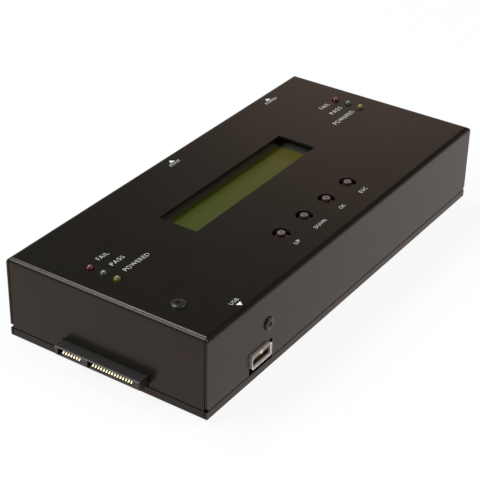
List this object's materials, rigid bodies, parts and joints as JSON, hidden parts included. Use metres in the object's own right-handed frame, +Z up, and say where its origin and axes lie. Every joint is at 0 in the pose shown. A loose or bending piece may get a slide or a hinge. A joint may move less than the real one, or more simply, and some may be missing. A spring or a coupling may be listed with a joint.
{
  "type": "drive duplicator",
  "caption": "Stand-alone drive duplicator in a folded black steel case, with a drive socket at each end, a display, keys and lamps.",
  "frame": {"origin": "middle of the footprint, on the surface the rubber feet stand on", "axes": "+X along the case from the source drive socket to the target drive socket, -Y towards the front with the keys and the USB port, +Z up"},
  "size_m": [0.2106, 0.0941, 0.0384],
  "materials": {
    "case_paint": "satin",
    "frame_paint": "satin",
    "zinc": "satin",
    "black_screw": "gloss",
    "bright_steel": "polished",
    "gold_contact": "polished",
    "board_green": "gloss",
    "socket_black": "matt",
    "tongue_plastic": "matt",
    "key_plastic": "satin",
    "spacer_plastic": "matt",
    "display_glass": "gloss",
    "backlight_plastic": "matt",
    "lens_red": "gloss",
    "lens_green": "gloss",
    "lens_yellow": "gloss",
    "chip_plastic": "matt",
    "sink_aluminium": "satin",
    "can_aluminium": "satin",
    "ferrite": "matt",
    "cable_grey": "satin",
    "foot_rubber": "matt"
  },
  "bodies": {
    "case": {"base_tray": "case_paint", "board_standoffs": "zinc", "buzzer": "socket_black", "capacitors": "can_aluminium", "controller_chip": "chip_plastic", "cover_pillar": "zinc", "heat_sink": "sink_aluminium", "inductors": "ferrite", "key_cases": "socket_black", "key_discs": "bright_steel", "lcd_backlight": "backlight_plastic", "lcd_board": "board_green", "lcd_frame": "frame_paint", "lcd_glass": "display_glass", "lcd_header": "socket_black", "lcd_supports": "spacer_plastic", "led_holders": "spacer_plastic", "main_board": "board_green", "main_socket": "socket_black", "memory_chips": "chip_plastic", "panel_board": "board_green", "panel_socket": "socket_black", "panel_spacers": "zinc", "power_jack": "socket_black", "power_jack_pin": "bright_steel", "power_jack_spring": "bright_steel", "print_jack": "socket_black", "print_jack_contacts": "gold_contact", "ribbon_cable": "cable_grey", "rubber_feet": "foot_rubber", "side_brackets": "zinc", "side_screws": "black_screw", "source_fail_led": "lens_red", "source_pass_led": "lens_green", "source_powered_led": "lens_yellow", "source_sata_contacts": "gold_contact", "source_sata_housing": "socket_black", "target_fail_led": "lens_red", "target_pass_led": "lens_green", "target_powered_led": "lens_yellow", "target_sata_contacts": "gold_contact", "target_sata_housing": "socket_black", "top_cover": "case_paint", "top_screw": "black_screw", "usb_contacts": "gold_contact", "usb_shell": "bright_steel", "usb_tongue": "tongue_plastic"},
    "key_up": {"key_up": "key_plastic"},
    "key_down": {"key_down": "key_plastic"},
    "key_ok": {"key_ok": "key_plastic"},
    "key_esc": {"key_esc": "key_plastic"}
  },
  "joints": [
    {"name": "key_up_press", "type": "slide", "parent": "case", "child": "key_up", "axis": [0, 0, -1], "range_m": [0, 0.00025], "stiffness_N_per_m": 800, "springref_m": -0.0005},
    {"name": "key_down_press", "type": "slide", "parent": "case", "child": "key_down", "axis": [0, 0, -1], "range_m": [0, 0.00025], "stiffness_N_per_m": 800, "springref_m": -0.0005},
    {"name": "key_ok_press", "type": "slide", "parent": "case", "child": "key_ok", "axis": [0, 0, -1], "range_m": [0, 0.00025], "stiffness_N_per_m": 800, "springref_m": -0.0005},
    {"name": "key_esc_press", "type": "slide", "parent": "case", "child": "key_esc", "axis": [0, 0, -1], "range_m": [0, 0.00025], "stiffness_N_per_m": 800, "springref_m": -0.0005}
  ]
}
